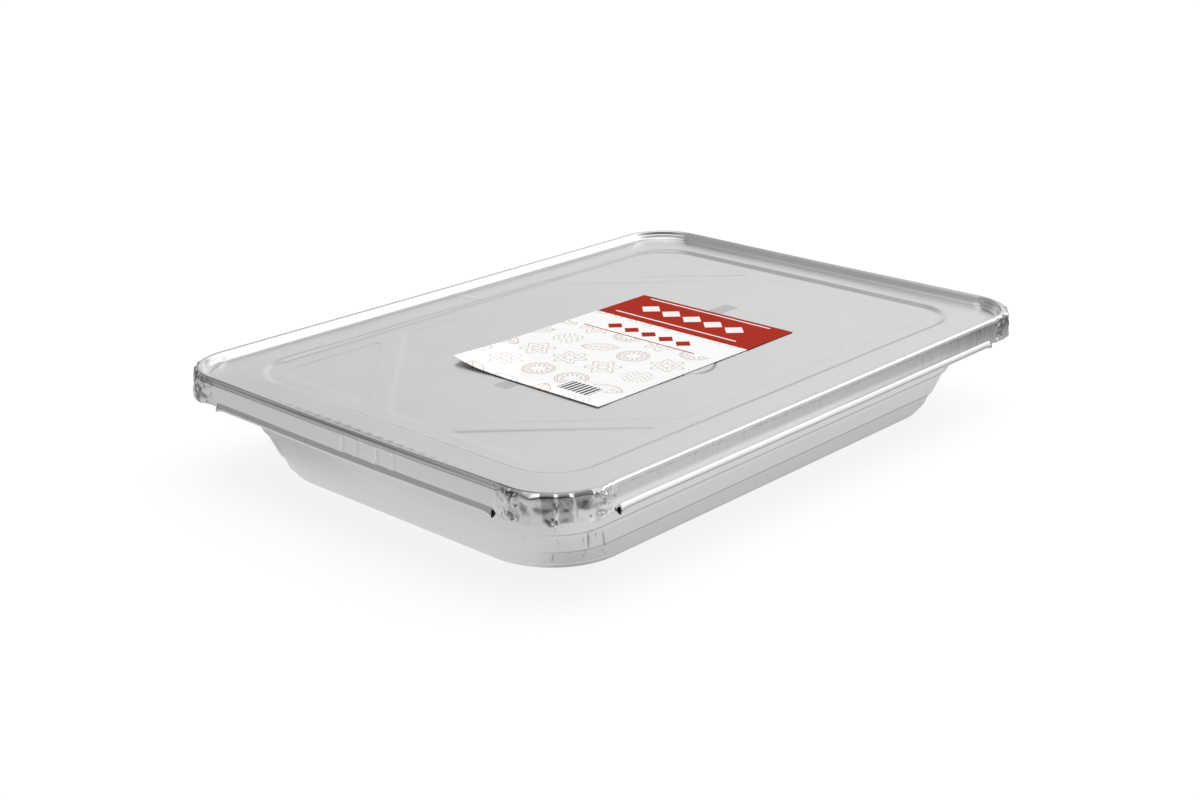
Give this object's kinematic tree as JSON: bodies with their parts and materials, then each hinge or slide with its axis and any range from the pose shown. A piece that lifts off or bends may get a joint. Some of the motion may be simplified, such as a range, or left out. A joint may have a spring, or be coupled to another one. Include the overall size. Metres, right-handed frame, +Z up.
{
  "type": "foil roasting pan",
  "caption": "Rectangular disposable aluminium foil roasting pan with a pressed foil lid crimped over its rolled rim and a printed card on the lid.",
  "frame": {"origin": "middle of the pan's flat base", "axes": "+X along the length, +Y across the width, +Z up towards the lid"},
  "size_m": [0.4064, 0.2924, 0.0606],
  "materials": {
    "pan_foil": "mill-bright rolled foil with a fine grain",
    "lid_foil": "satin rolled foil, bright where it is folded",
    "label_card": "matte white card with a plain red band and pale line pattern",
    "clear_tape": "clear film"
  },
  "bodies": {
    "root": {"pan": "pan_foil", "lid": "lid_foil", "label": "label_card", "label_tape": "clear_tape"}
  },
  "joints": []
}
